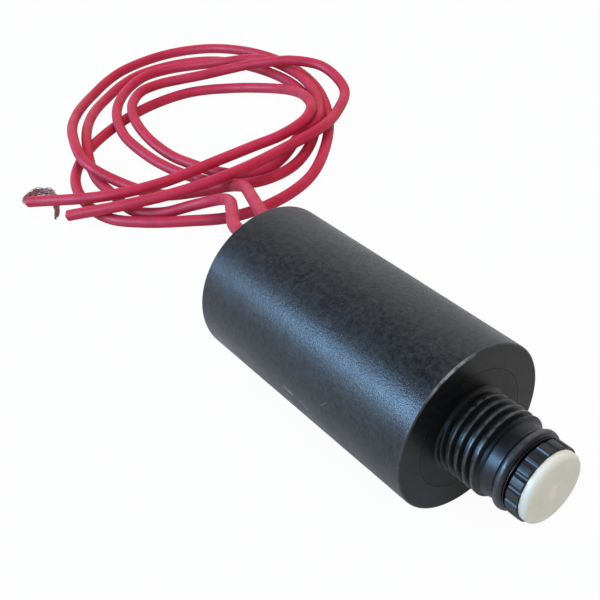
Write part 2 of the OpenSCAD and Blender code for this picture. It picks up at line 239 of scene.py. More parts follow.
class Shape(Graph):
    """A Geometry Nodes tree with named inputs, run over a base mesh to give a finished piece."""

    def __init__(self, name, **inputs):
        super().__init__(bpy.data.node_groups.new(name, "GeometryNodeTree"))
        face = self.tree.interface
        face.new_socket("Geometry", in_out="INPUT", socket_type="NodeSocketGeometry")
        self.ids = {}
        for key, kind in inputs.items():
            made = face.new_socket(key, in_out="INPUT", socket_type="NodeSocket" + kind)
            self.ids[key] = made.identifier
        face.new_socket("Geometry", in_out="OUTPUT", socket_type="NodeSocketGeometry")
        given = self.add("NodeGroupInput", out=None)
        self.inputs = {value.socket.name: value for value in given}

    def end(self, geometry, crease):
        """Shades the shape smooth but for its creases, and closes the tree."""
        folds = self.add("GeometryNodeInputMeshEdgeAngle")
        smooth = self.add("GeometryNodeSetShadeSmooth", {"domain": "FACE"}, {0: geometry, 2: True})
        shaded = self.add("GeometryNodeSetShadeSmooth", {"domain": "EDGE"},
                          {0: smooth, 1: folds > crease, 2: False})
        real = self.add("GeometryNodeRealizeInstances", {}, {0: shaded})
        dressed = self.add("GeometryNodeSetMaterial", {}, {0: real, 2: self.inputs["Material"]})
        self.add("NodeGroupOutput", {}, {0: dressed}, None)

    def make(self, name, mesh, **values):
        """Runs the tree over a base mesh, and keeps the result as a plain mesh."""
        piece = bpy.data.objects.new(name, mesh)
        bpy.context.scene.collection.objects.link(piece)
        modifier = piece.modifiers.new(name, "NODES")
        modifier.node_group = self.tree
        for key, value in values.items():
            modifier[self.ids[key]] = value
        ready = piece.evaluated_get(bpy.context.evaluated_depsgraph_get())
        solid = bpy.data.meshes.new_from_object(ready)
        piece.modifiers.clear()
        piece.data = solid
        solid.name = name
        return piece


class Finish(Graph):
    """A material on the piece's own Object coordinates. Constants go on the shader's sockets."""

    def __init__(self, name, **constants):
        self.material = bpy.data.materials.new(name)
        self.material.use_nodes = True
        super().__init__(self.material.node_tree)
        self.shader = self.tree.nodes["Principled BSDF"]
        for key, value in constants.items():
            self.set(key.replace("_", " ").title().replace("Ior", "IOR"), value)
        self.place = self.add("ShaderNodeTexCoord", out="Object")
        self.x, self.y, self.z = self.parts_of(self.place)

    def set(self, socket, value):
        """Links or sets one of the shader's sockets."""
        self.plug(self.shader.inputs[socket], value)

    def along(self):
        """Distance in front of the seat face."""
        return self.x - SEAT_X

    def radius(self):
        """Distance from the coil's axis."""
        return ((self.y - AXIS_Y) ** 2 + (self.z - AXIS_Z) ** 2).root()

    def turn(self):
        """Angle about the axis, from straight up towards -Y."""
        return self.z.math("ARCTAN2", AXIS_Y - self.y, self.z - AXIS_Z)

    def stretched(self, x, y, z):
        """The piece's coordinates, drawn out along chosen axes."""
        return self.add("ShaderNodeVectorMath", {"operation": "MULTIPLY"},
                        {0: self.place, 1: (1 / x, 1 / y, 1 / z)})

    def noise(self, size, detail=2.0, rough=0.5, place=None):
        """Cloudy noise of 0 to 1, with patches of about the given size."""
        return self.add("ShaderNodeTexNoise", {},
                        {"Vector": place or self.place, "Scale": 1 / size, "Detail": detail,
                         "Roughness": rough})

    def cells(self, size):
        """Distance to the nearest of scattered points, in units of the given size."""
        return self.add("ShaderNodeTexVoronoi", {"feature": "F1"},
                        {"Vector": self.place, "Scale": 1 / size})

    def dull(self, share):
        """Takes gloss off a black surface, because a black metal mirrors less than a plastic."""
        self.set("Metallic", share)

    def relief(self, height, depth):
        """Gives the surface a fine relief: a height of 0 to 1 over the given depth."""
        self.set("Normal", self.add("ShaderNodeBump", {}, {"Height": height, "Distance": depth}))


# The camera, for a square frame: sensor and lens in millimetres, azimuth, elevation and roll in
# degrees, place, and the nearest distance that it sees
SENSOR = 36
LENS = 58.377
CAMERA_ANGLES = (60.05, 41.64, -12.69)
CAMERA_PLACE = (SEAT_X + 0.08913, -0.08165, 0.16486)
NEAREST = 0.01


def stand_camera():
    """Sets the camera up at the photograph's viewing angle."""
    lens = bpy.data.cameras.new("camera")
    lens.sensor_width = SENSOR
    lens.lens = LENS
    lens.clip_start = NEAREST
    camera = bpy.data.objects.new("camera", lens)
    azimuth, elevation, roll = (math.radians(angle) for angle in CAMERA_ANGLES)
    level = Euler((math.pi / 2 - elevation, 0, azimuth)).to_matrix()
    turned = level @ Euler((0, 0, roll)).to_matrix()
    camera.matrix_world = turned.to_4x4()
    camera.location = CAMERA_PLACE
    bpy.context.scene.collection.objects.link(camera)
    bpy.context.scene.camera = camera


# Floor and light
class Lamp(NamedTuple):
    """A lamp that faces the coil. It may light surfaces, show in their gloss, or both."""
    name: str
    place: tuple
    size: tuple
    power: float
    colour: tuple
    lights: bool
    shines: bool


# Brightness of the walls and the ceiling, by the sine of the height above the horizon
WALLS = [(0.0, 0.96), (0.4, 0.96), (0.5, 0.92), (0.6, 0.56), (0.72, 0.14), (0.8, 0.04), (1.0, 0.04)]
# How much lower the bright walls reach on the window's side
WALL_TILT = 0.2
# Share of the walls' brightness that is left in front of the neck, and where it fades to that
FRONT_LEVEL = 0.08
FRONT_FADE = (0.7, -0.1)
# Share of plain white in the stage as the camera sees it, and as the floor and the walls are mirrored
WHITE_SEEN = 0.96
FLOOR_MIRRORED = 0.25
WALLS_MIRRORED = 0.04
# The floor's own colour, and half its width in metres
FLOOR_GREY = (0.6, 0.6, 0.6, 1)
FLOOR_HALF = 6.0
LAMPS = [
    Lamp("window", (-0.4, -1.22, 0.81), (1.28, 0.3), 46.0, (0.32, 0.61, 1.0), False, True),
    Lamp("window_glow", (-0.79, -1.04, 0.77), (0.6, 0.6), 18.0, (0.35, 0.62, 1.0), True, False),
    Lamp("overhead", (-0.25, 0.35, 1.4), (1.2, 1.2), 12.5, (1.0, 0.98, 0.96), True, False),
    Lamp("front_fill", (1.0, -0.2, 0.9), (0.8, 0.8), 9.5, (1.0, 0.98, 0.95), True, False),
]


def white_share(graph, mirrored):
    """Share of plain white in a view of the stage: nearly all to the camera, some in reflections."""
    camera, glossy, clear = (graph.add("ShaderNodeLightPath", out=name)
                             for name in ("Is Camera Ray", "Is Glossy Ray", "Is Transmission Ray"))
    return (camera * WHITE_SEEN).most(glossy.most(clear) * mirrored)


def lay_floor():
    """A white floor that keeps the shadow of the coil."""
    finish = Finish("white_floor")
    nodes = finish.tree.nodes
    matt = finish.add("ShaderNodeBsdfDiffuse", {}, {"Color": FLOOR_GREY})
    glow = finish.add("ShaderNodeEmission", {}, {"Color": (1, 1, 1, 1), "Strength": 1.0})
    share = white_share(finish, FLOOR_MIRRORED)
    mixed = finish.add("ShaderNodeMixShader", {}, {0: share, 1: matt, 2: glow})
    finish.plug(nodes["Material Output"].inputs["Surface"], mixed)
    nodes.remove(finish.shader)
    mesh = bpy.data.meshes.new("floor")
    corners = [(x * FLOOR_HALF, y * FLOOR_HALF, 0) for x, y in ((-1, -1), (1, -1), (1, 1), (-1, 1))]
    mesh.from_pydata(corners, [], [(0, 1, 2, 3)])
    mesh.materials.append(finish.material)
    floor = bpy.data.objects.new("floor", mesh)
    bpy.context.scene.collection.objects.link(floor)


def light_studio():
    """White walls round a darker ceiling, darker in front, a cool window on the left and soft lamps."""
    world = bpy.data.worlds.new("studio")
    bpy.context.scene.world = world
    world.use_nodes = True
    sky = Graph(world.node_tree)
    ahead, beyond, height = sky.parts_of(sky.add("ShaderNodeTexCoord", out="Generated"))
    wall = sky.add("ShaderNodeValToRGB", {"stops": WALLS}, {0: height - beyond * WALL_TILT})
    level = ahead.step(*FRONT_FADE).to(FRONT_LEVEL, 1.0)
    studio = sky.blend(level, (0, 0, 0), wall)
    surround = world.node_tree.nodes["Background"].inputs
    sky.plug(surround["Color"], sky.blend(white_share(sky, WALLS_MIRRORED), studio, (1, 1, 1)))
    for lamp in LAMPS:
        light = bpy.data.lights.new(lamp.name, "AREA")
        light.shape = "RECTANGLE"
        light.size, light.size_y = lamp.size
        light.energy = lamp.power
        light.color = lamp.colour
        holder = bpy.data.objects.new(lamp.name, light)
        holder.location = lamp.place
        holder.rotation_euler = (-Vector(lamp.place)).to_track_quat("-Z", "Y").to_euler()
        holder.visible_diffuse = lamp.lights
        holder.visible_glossy = lamp.shines
        bpy.context.scene.collection.objects.link(holder)


# Outlines of turned pieces
class Corner(NamedTuple):
    """A corner of an outline: place along the axis, radius, rounding, and rows in the span before it."""
    x: float
    r: float
    round: float = 0.0
    rows: int = 1


# Steps of a rounding, and distance of the rows that guard the flats beside it
ROUND_STEPS = 6
GUARD = 0.08 * MM
# Angles past which an edge of a turned piece or a wire stays sharp, and distance at which points merge
TURNED_CREASE = math.radians(38)
WIRE_CREASE = math.radians(55)
MERGE = 1e-6


def rounded(corners, closed):
    """Points of an outline whose corners are rounded. Rows beside a rounding keep the flats flat."""
    points = []
    count = len(corners)
    for i, corner in enumerate(corners):
        here = Vector((corner.x, corner.r))
        before, after = corners[i - 1], corners[(i + 1) % count]
        inner = closed or 0 < i < count - 1
        run = [here]
        if inner and corner.round:
            run = round_corner(Vector((before.x, before.r)), here, Vector((after.x, after.r)),
                               corner.round)
        if points and corner.rows > 1:
            start = points[-1]
            points += [start.lerp(run[0], k / corner.rows) for k in range(1, corner.rows)]
        points += run
    if closed:
        points.append(points[0])
    return points


def round_corner(before, here, after, radius):
    """Points of the round that replaces one corner, with a guard row on each side."""
    back, ahead = (before - here).normalized(), (after - here).normalized()
    half = back.angle(ahead) / 2
    reach = radius / math.tan(half)
    centre = here + (back + ahead).normalized() * (radius / math.sin(half))
    first, last = here + back * reach - centre, here + ahead * reach - centre
    sweep = first.angle_signed(last)
    arc = [centre + turned_by(first, sweep * k / ROUND_STEPS) for k in range(ROUND_STEPS + 1)]
    return [here + back * (reach + GUARD), *arc, here + ahead * (reach + GUARD)]


def turned_by(vector, angle):
    """A plane vector turned by an angle, clockwise as angle_signed counts it."""
    c, s = math.cos(angle), math.sin(angle)
    return Vector((vector.x * c + vector.y * s, vector.y * c - vector.x * s))


def chain_mesh(name, chains, girths=None):
    """A mesh of open chains of points, with the girth of a wire at each point."""
    points, edges = [], []
    for chain in chains:
        edges += [(len(points) + k, len(points) + k + 1) for k in range(len(chain) - 1)]
        points += chain
    mesh = bpy.data.meshes.new(name)
    mesh.from_pydata([tuple(point) for point in points], edges, [])
    if girths:
        layer = mesh.attributes.new("girth", "FLOAT", "POINT")
        layer.data.foreach_set("value", [girth for run in girths for girth in run])
    return mesh


def turned_shape():
    """Turns an outline about an axis along X, with a helical thread and flutes where they are asked."""
    tree = Shape("turned_piece", **{
        "Steps": "Int", "Axis Y": "Float", "Axis Z": "Float", "Pitch": "Float", "Crest": "Float",
        "Thread Start": "Float", "Thread End": "Float", "Root Radius": "Float",
        "Runout Radius": "Float", "Flutes": "Int", "Flute Radius": "Float", "Flute Centre": "Float",
        "Material": "Material"})
    given = tree.inputs
    steps, outline = given["Steps"], given["Geometry"]
    rows = tree.add("GeometryNodeAttributeDomainSize", {"component": "MESH"}, {0: outline})
    grid = tree.add("GeometryNodeMeshGrid", {}, {2: steps + 1, 3: rows})
    index = tree.add("GeometryNodeInputIndex")
    row = index % rows
    turn = (index / rows).floor() / steps
    place = tree.add("GeometryNodeInputPosition")
    sample = tree.add("GeometryNodeSampleIndex", {"data_type": "FLOAT_VECTOR", "domain": "POINT"},
                      {"Geometry": outline, "Value": place, "Index": row})
    x, _, r = tree.parts_of(sample)
    r = r - thread_cut(x, r, turn, given)
    r = r.least(flute_floor(turn, given))
    angle = turn * math.tau
    spot = tree.add("ShaderNodeCombineXYZ", {}, {
        0: x, 1: given["Axis Y"] - r * angle.sin(), 2: given["Axis Z"] + r * angle.cos()})
    turned = tree.add("GeometryNodeSetPosition", {}, {0: grid, "Position": spot})
    closed = tree.add("GeometryNodeMergeByDistance", {}, {0: turned, "Distance": MERGE})
    tree.end(closed, TURNED_CREASE)
    return tree


def thread_cut(x, r, turn, given):
    """Depth of the groove between the crests of a right-hand thread. It gets shallower at its end."""
    start, end, pitch = given["Thread Start"], given["Thread End"], given["Pitch"]
    phase = (x - given["Crest"]) / pitch - turn
    off_crest = abs((phase + 0.5) % 1.0 - 0.5) * 2.0
    groove = off_crest.step(CREST_SHARE, 1 - ROOT_SHARE) * x.step(start, start + pitch * START_SHARE)
    root, runout = given["Root Radius"], given["Runout Radius"]
    floor = root + (runout - root) * x.step(end - pitch * RUNOUT_SHARE, end)
    return groove * (r - floor).most(0.0)


def flute_floor(turn, given):
    """Radius of the floor of round flutes that are cut along a piece."""
    count, centre = given["Flutes"], given["Flute Centre"]
    off = ((turn * count + 0.5) % 1.0 - 0.5) * math.tau / count
    across = off.sin() * centre
    room = (given["Flute Radius"] ** 2 - across ** 2).most(0.0)
    return off.cos() * centre - room.root()


def wire_shape():
    """Draws round wires along chains of points."""
    tree = Shape("drawn_wire", Radius="Float", Sides="Int", Material="Material")
    given = tree.inputs
    curve = tree.add("GeometryNodeMeshToCurve", {}, {0: given["Geometry"]})
    ring = tree.add("GeometryNodeCurvePrimitiveCircle", {"mode": "RADIUS"},
                    {"Resolution": given["Sides"], "Radius": given["Radius"]})
    girth = tree.add("GeometryNodeInputNamedAttribute", {"data_type": "FLOAT"}, {"Name": "girth"})
    tube = tree.add("GeometryNodeCurveToMesh", {},
                    {"Curve": curve, "Profile Curve": ring, "Scale": girth, "Fill Caps": True})
    tree.end(tube, WIRE_CREASE)
    return tree


turned_tree = turned_shape()
wire_tree = wire_shape()
# A thread and flutes that cut nothing, because their floor lies outside every piece
NO_THREAD = {"Pitch": PITCH, "Root Radius": 1.0, "Runout Radius": 1.0}
NO_FLUTES = {"Flutes": 8, "Flute Radius": 0.0, "Flute Centre": 1.0}


def turn_piece(name, outline, finish, steps, axis=(AXIS_Y, AXIS_Z), thread=NO_THREAD, flutes=NO_FLUTES):
    """A piece turned about the coil's axis or another one along X."""
    mesh = chain_mesh(name, [[(point.x, 0, point.y) for point in outline]])
    return turned_tree.make(name, mesh, Steps=steps, Material=finish.material,
                            **{"Axis Y": axis[0], "Axis Z": axis[1]}, **thread, **flutes)


def draw_wires(name, chains, girths, radius, sides, finish):
    """Wires along chains of points, as one piece."""
    mesh = chain_mesh(name, chains, girths)
    return wire_tree.make(name, mesh, Radius=radius, Sides=sides, Material=finish.material)


def dress(piece, body, slot, *nodes):
    """Hangs a finished piece on its body, in the place of the nodes that it stands for."""
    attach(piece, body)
    if nodes:
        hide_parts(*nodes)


# Finishes
# How dull the seat face is, beside the satin of the body and the neck
SEAT_DULLNESS = 0.38
# Angle about the axis where the front rim is palest, on the window's side: a painted highlight over
# patchy wear
RIM_HIGHLIGHT_ANGLE = 0.18
# Scratches on the body: middle from the seat face, length and width in millimetres, angle, the change
# of angle over a millimetre, and strength
SCRATCHES = [(-33.4, 4.8, 1.4, 1.55, 0.008, 0.5), (-28.4, 3.8, 1.2, 1.585, 0.02, 0.26),
             (-21.6, 2.6, 0.6, 1.3, -0.06, 0.18)]


def black_moulding():
    """Satin black moulding with a fine grain, cloudy patches, a front face painted darker as shade, a
    front rim painted paler (patchy wear, and a painted highlight on the window's side) and a few
    scratches.
    """
    finish = Finish("black_moulding", specular_ior_level=0.42)
    clouds = finish.noise(7 * MM, 4.0, 0.6).step(0.35, 0.68)
    specks = finish.noise(0.6 * MM, 3.0, 0.6)
    grain = finish.noise(0.3 * MM, 2.0, 0.6)
    mottle = finish.noise(1.1 * MM, 3.0, 0.65).step(0.32, 0.7)
    base = finish.blend(clouds, (0.005, 0.0053, 0.006), (0.009, 0.0093, 0.0102))
    base = finish.blend(mottle, base, (0.024, 0.0248, 0.027))
    base = finish.blend(specks.step(0.52, 0.72) * 0.4, base, (0.03, 0.031, 0.034))
    face = finish.along().step(-0.25 * MM, -0.02 * MM)
    # Painted shade: the front face is painted darker, because it turns away from the light.
    base = finish.blend(face * 0.7, base, (0.004, 0.004, 0.0045))
    rim = finish.radius().step(BODY_R - 0.5 * MM, BODY_R - 0.2 * MM)
    edge = rim * finish.along().step(-0.6 * MM, -0.2 * MM)
    # Painted highlight: the rim is painted palest on the window's side, over patches of real wear.
    arc = abs(finish.turn() - RIM_HIGHLIGHT_ANGLE).step(0.42, 0.08).to(0.14, 1.0)
    wear_and_highlight = edge * arc * finish.noise(2.5 * MM, 3.0, 0.6).step(0.2, 0.5)
    base = finish.blend(wear_and_highlight * 0.9, base, (0.3, 0.3, 0.315))
    base = finish.blend(scratches(finish), base, (0.42, 0.43, 0.45))
    finish.set("Base Color", base)
    finish.set("Roughness", clouds.to(0.3, 0.37) + specks * 0.06 - wear_and_highlight * 0.06)
    finish.dull(face * (1.0 - wear_and_highlight) * SEAT_DULLNESS)
    finish.relief((specks * 0.65 + grain * 0.35) * (1.0 - face * 0.7), 0.06 * MM)
    return finish


def scratches(finish):
    """A few thin pale scratches low on one side of the body, which fade towards their ends."""
    along, turn = finish.along(), finish.turn()
    faint = finish.noise(1.6 * MM, 2.0, 0.5).step(0.2, 0.6)
    marks = 0.0
    for middle, length, width, angle, slant, strength in SCRATCHES:
        gone = along - middle * MM
        run = abs(gone).step(length * MM / 2, length * MM / 6)
        across = abs(turn - angle - gone * (slant / MM)).step(width * MM / 2 / BODY_R, 0.0)
        marks = run * across * strength + marks
    return marks * faint


def neck_moulding():
    """The same black moulding, smoother, with paler thread crests: a little wear, and a painted
    highlight along them.
    """
    finish = Finish("neck_moulding", specular_ior_level=0.42)
    clouds = finish.noise(3 * MM, 4.0, 0.6).step(0.35, 0.68)
    specks = finish.noise(0.4 * MM, 3.0, 0.6)
    base = finish.blend(clouds, (0.005, 0.0052, 0.006), (0.008, 0.0082, 0.009))
    on_neck = finish.along().step(1.5 * MM, 2.5 * MM)
    crest = finish.radius().step(NECK_R - 0.2 * MM, NECK_R) * on_neck
    # Paler crests: partly wear, and partly a painted highlight along the crests' gloss lines.
    wear_and_highlight = crest * finish.noise(1.6 * MM, 3.0, 0.6).step(0.3, 0.62)
    finish.set("Base Color", finish.blend(wear_and_highlight * 0.46, base, (0.125, 0.13, 0.138)))
    finish.set("Roughness", clouds.to(0.35, 0.43) + specks * 0.05 - crest * 0.1)
    finish.dull(finish.along().step(0.3 * MM, 0.05 * MM) * SEAT_DULLNESS)
    finish.relief(specks, 0.02 * MM)
    return finish


def potting():
    """Glossy black casting compound, with soft waves and a few specks of dust."""
    finish = Finish("potting")
    waves = finish.noise(5 * MM, 2.0, 0.5)
    pale_marks = finish.cells(1.7 * MM).step(0.12, 0.05)
    finish.set("Base Color", finish.blend(pale_marks * 0.5, (0.011, 0.011, 0.012), (0.12, 0.12, 0.12)))
    finish.set("Roughness", waves.to(0.14, 0.3) + pale_marks * 0.3)
    finish.relief(waves + pale_marks * 0.1, 0.25 * MM)
    return finish


def ring_rubber():
    """Black rubber, slightly glossy from its grease, paler in patches along its crest: a little dust,
    and a painted highlight streak.
    """
    finish = Finish("ring_rubber", specular_ior_level=0.5)
    patches = finish.noise(2.5 * MM, 3.0, 0.6).step(0.35, 0.7)
    skin = finish.noise(0.25 * MM, 2.0, 0.5)
    crest = finish.radius().step(RING_R - 0.3 * MM, RING_R - 0.02 * MM)
    # Painted highlight: the crest is painted paler and faintly purple in patches, as a streak of gloss
    # along the ring, over a little dust.
    pale_marks = crest * finish.noise(2.2 * MM, 3.0, 0.6).step(0.25, 0.65)
    base = finish.blend(patches, (0.010, 0.010, 0.012), (0.017, 0.016, 0.019))
    finish.set("Base Color", finish.blend(pale_marks * 0.38, base, (0.115, 0.108, 0.122)))
    finish.set("Roughness", patches.to(0.34, 0.43))
    finish.relief(skin, 0.008 * MM)
    return finish


def carrier_moulding():
    """Satin black moulding of the fluted ring, faintly blue."""
    finish = Finish("carrier_moulding")
    patches = finish.noise(1.8 * MM, 3.0, 0.6).step(0.35, 0.7)
    skin = finish.noise(0.3 * MM, 2.0, 0.5)
    finish.set("Base Color", finish.blend(patches, (0.008, 0.009, 0.012), (0.014, 0.015, 0.019)))
    finish.set("Roughness", patches.to(0.4, 0.48))
    finish.relief(skin, 0.01 * MM)
    return finish


def cream_seal():
    """Cream rubber of the seal disc, a little soiled, with a painted highlight round its edge, and a
    raised spot in the middle painted lighter as a highlight and browner on one side as shade."""
    finish = Finish("cream_seal", specular_ior_level=0.4)
    soil = finish.noise(3.2 * MM, 4.0, 0.6).step(0.38, 0.72)
    fine = finish.noise(0.5 * MM, 3.0, 0.6)
    base = finish.blend(soil, (0.66, 0.63, 0.525), (0.63, 0.6, 0.5))
    base = finish.blend(fine.step(0.6, 0.8) * 0.2, base, (0.47, 0.44, 0.36))
    # Painted highlight: the rounded edge is painted paler all round.
    rim = finish.radius().step(6.1 * MM, 7.1 * MM)
    base = finish.blend(rim * 0.7, base, (0.68, 0.68, 0.61))
    # Painted highlight and shade on the raised spot: lighter all over, browner on the half that turns
    # away from the window.
    spot = finish.radius().step(2.0 * MM, 1.4 * MM)
    spot_shaded_half = finish.y.step(-0.6 * MM, 1.0 * MM)
    base = finish.blend(spot * 0.8, base, (0.72, 0.69, 0.58))
    base = finish.blend(spot * spot_shaded_half * 0.6, base, (0.64, 0.545, 0.43))
    finish.set("Base Color", base)
    finish.set("Roughness", soil.to(0.42, 0.52))
    finish.relief(fine, 0.012 * MM)
    return finish


def lead_insulation():
    """Pink-red insulation with faint patches and fine paler specks."""
    finish = Finish("lead_insulation", specular_ior_level=0.36)
    patches = finish.noise(6 * MM, 4.0, 0.6).step(0.35, 0.7)
    fine = finish.noise(0.4 * MM, 3.0, 0.6)
    base = finish.blend(patches, (0.52, 0.021, 0.062), (0.45, 0.015, 0.048))
    base = finish.blend(fine.step(0.55, 0.8) * 0.3, base, (0.58, 0.046, 0.1))
    finish.set("Base Color", base)
    finish.set("Roughness", patches.to(0.46, 0.54) + fine * 0.06)
    finish.relief(fine, 0.01 * MM)
    return finish


def tinned_wire():
    """Tinned copper wire that has gone a dull reddish brown, with darker stains."""
    finish = Finish("tinned_wire", metallic=0.45)
    stain = finish.noise(1.1 * MM, 3.0, 0.6).step(0.4, 0.7)
    finish.set("Base Color", finish.blend(stain, (0.44, 0.245, 0.235), (0.28, 0.12, 0.115)))
    finish.set("Roughness", stain.to(0.34, 0.55))
    return finish


def spool_nylon():
    """Off-white nylon of the spool."""
    finish = Finish("spool_nylon")
    patches = finish.noise(4 * MM, 3.0, 0.6).step(0.35, 0.7)
    finish.set("Base Color", finish.blend(patches, (0.68, 0.63, 0.5), (0.6, 0.55, 0.42)))
    finish.set("Roughness", patches.to(0.42, 0.52))
    finish.relief(finish.noise(0.4 * MM, 2.0, 0.5), 0.01 * MM)
    return finish


def enamelled_winding():
    """Layers of fine enamelled copper wire."""
    finish = Finish("enamelled_winding", metallic=0.9)
    wire = 0.32 * MM
    bow = abs((finish.x / wire) % 1.0 - 0.5) * 2.0
    shade = finish.noise(5 * MM, 3.0, 0.6)
    finish.set("Base Color", finish.blend(shade, (0.5, 0.19, 0.07), (0.66, 0.28, 0.11)))
    finish.set("Roughness", shade.to(0.25, 0.38))
    finish.relief((1.0 - bow * bow).root(), 0.1 * MM)
    return finish


def tape_film():
    """Yellow film tape with the edges of its overlapping turns."""
    finish = Finish("tape_film")
    width = 9 * MM
    lap = ((finish.x + finish.turn() * width / math.tau) / width) % 1.0
    edge = lap.step(0.0, 0.03)
    shade = finish.noise(4 * MM, 3.0, 0.6)
    tone = finish.blend(shade, (0.66, 0.42, 0.05), (0.74, 0.5, 0.09))
    finish.set("Base Color", finish.blend(edge, (0.5, 0.3, 0.03), tone))
    finish.set("Roughness", shade.to(0.22, 0.34))
    finish.relief(edge + shade * 0.3, 0.05 * MM)
    return finish


def plated_steel():
    """Rolled steel with a dull zinc coat."""
    finish = Finish("plated_steel", metallic=1.0)
    spangle = finish.cells(2.4 * MM)
    lines = finish.noise(1.0, 2.0, 0.5, finish.stretched(14 * MM, 0.5 * MM, 0.5 * MM))
    finish.set("Base Color", finish.blend(spangle, (0.52, 0.53, 0.54), (0.43, 0.44, 0.46)))
    finish.set("Roughness", lines.to(0.3, 0.48))
    finish.relief(lines, 0.01 * MM)
    return finish


def turned_steel():
    """Turned core steel with the fine rings that the tool leaves."""
    finish = Finish("turned_steel", metallic=1.0)
    rings = finish.noise(1.0, 2.0, 0.5, finish.stretched(0.12 * MM, 6 * MM, 6 * MM))
    stain = finish.noise(3 * MM, 3.0, 0.6).step(0.4, 0.75)
    finish.set("Base Color", finish.blend(stain, (0.56, 0.57, 0.58), (0.42, 0.42, 0.42)))
    finish.set("Roughness", rings.to(0.18, 0.36))
    finish.relief(rings, 0.008 * MM)
    return finish


def copper_band():
    """Bare copper with darker tarnish."""
    finish = Finish("copper_band", metallic=1.0)
    tarnish = finish.noise(1.5 * MM, 4.0, 0.6).step(0.35, 0.7)
    finish.set("Base Color", finish.blend(tarnish, (0.78, 0.36, 0.2), (0.4, 0.16, 0.09)))
    finish.set("Roughness", tarnish.to(0.24, 0.42))
    return finish


def spring_wire():
    """Drawn stainless spring wire."""
    finish = Finish("spring_wire", metallic=1.0)
    drawn = finish.noise(0.3 * MM, 3.0, 0.6)
    finish.set("Base Color", finish.blend(drawn, (0.6, 0.6, 0.61), (0.5, 0.5, 0.52)))
    finish.set("Roughness", drawn.to(0.2, 0.36))
    return finish


def pin_brass():
    """Brass of the terminal pins."""
    finish = Finish("pin_brass", metallic=1.0)
    tarnish = finish.noise(0.9 * MM, 3.0, 0.6).step(0.35, 0.7)
    finish.set("Base Color", finish.blend(tarnish, (0.72, 0.5, 0.18), (0.5, 0.33, 0.12)))
    finish.set("Roughness", tarnish.to(0.24, 0.4))
    return finish


# Leads
# Routes: x from the seat face, y and height above the ground, in millimetres
lead_a_route = [
    (-74, 0, 29), (-88, 7, 23), (-102, 14, 15), (-114, 17, 8), (-123, 13, 4), (-130, 6, 2),
    (-138, 1, 1.7), (-151, 1, 1.7), (-164, 2, 2.2), (-176, 7, 5.6), (-191, 16, 4.4),
    (-203, 28, 1.8), (-208, 43, 1.7), (-203, 57, 1.7), (-192, 68, 1.7), (-175, 74, 1.7),
    (-156, 75, 1.7), (-139, 70, 1.7), (-125, 59, 1.7), (-118, 46, 1.7), (-119, 36, 1.7),
    (-125, 28, 1.7), (-133, 24, 1.7), (-143, 21, 1.7), (-155, 18.5, 3), (-169, 18, 5),
    (-177, 20, 5.3), (-185, 23.5, 5.4), (-193, 29.5, 4.9), (-198, 36.5, 4.7), (-200, 44, 4.5),
    (-197, 52, 4.4), (-191, 59, 4.6), (-183, 66, 5.2), (-176, 73, 5.4), (-170, 76.5, 5),
    (-163, 78.2, 4), (-151, 76.5, 4.7), (-138, 71.5, 5), (-126.5, 62.5, 5.5), (-125, 54, 4.8),
    (-123, 46, 2.6), (-123, 39, 1.7), (-127, 33, 1.7), (-135, 28.5, 1.7), (-144, 26, 1.7),
    (-153, 24, 2.2), (-162, 23, 4.2), (-171, 24, 5.5), (-179, 26.5, 6.1), (-185.5, 30.5, 6.1),
    (-189.5, 36.5, 6), (-188.5, 43, 5.9), (-185, 49, 5.9), (-180.5, 55.5, 6), (-176, 62, 6.4),
    (-171, 67.5, 7.2), (-165, 73, 7.8), (-159, 78.5, 7.8), (-150, 84, 6), (-137, 82, 3.4),
    (-126, 70, 4.8), (-121, 60, 6.4), (-120, 45, 7.4), (-120, 30, 8.6), (-126, 15, 7.4),
    (-136, 0, 6), (-149, -15, 4.2)]
lead_b_route = [
    (-76, 9, 26), (-91, 15, 21), (-104, 21, 14), (-114, 25, 8), (-122, 25, 4.2), (-130, 19, 2),
    (-138, 11, 1.7), (-150, 6, 2.5), (-164, 1, 7), (-180, 5, 8.2), (-197, 14, 4.8),
    (-210, 27, 1.8), (-216, 42, 1.7), (-213, 58, 1.7), (-203, 71, 1.7), (-188, 79, 1.7),
    (-169, 82, 1.7), (-149, 79, 1.7), (-131, 70, 1.7), (-117, 57, 1.7), (-109, 44, 1.7),
    (-108, 31, 1.7), (-112, 19, 1.7), (-121, 9, 1.7), (-131, 0, 1.7), (-141, -6, 1.7),
    (-154, -7, 1.7), (-168, -3, 1.7), (-178, 6, 1.7), (-184, 19, 1.7), (-186, 34, 1.7),
    (-182, 49, 1.7), (-172, 60, 1.7), (-158, 67.5, 3), (-146, 68.5, 5.8), (-136.5, 66.5, 8.2),
    (-129, 63, 9), (-125, 57, 9), (-125, 48, 8.4), (-128, 40, 7.7), (-132, 29, 6.8),
    (-137, 12, 6.2), (-146, -3, 5.8), (-166, -20, 4)]
# The bare strands of lead B, bent back beside its end and under it
strand_b_route = [
    (-168.8, -19.6, 3.7), (-171, -16.8, 3.1), (-172.4, -13.6, 2.3), (-171, -11.2, 1.6),
    (-168.4, -10.8, 1.1), (-165, -11.6, 0.9), (-162, -13, 0.8), (-159, -14.6, 0.8),
    (-156, -16.6, 0.8)]
# Straight starts of a lead and of its bare strands, and how far strands reach into a lead's end, and
# out of lead A's
LEAD_STRAIGHT = 3 * MM
STRAND_STRAIGHT = 1 * MM
STUB = 0.5 * MM
# Steps between two points of a route, and sides of a wire
LEAD_STEPS = 10
LEAD_SIDES = 20
STRAND_STEPS = 8
STRAND_SIDES = 7
# Wires in the layers of a core, the length in which they go round once, and how far lead B's are frayed
LAYERS = (1, 6, 12, 18)
LAY = 14 * MM
FRAY = 0.6
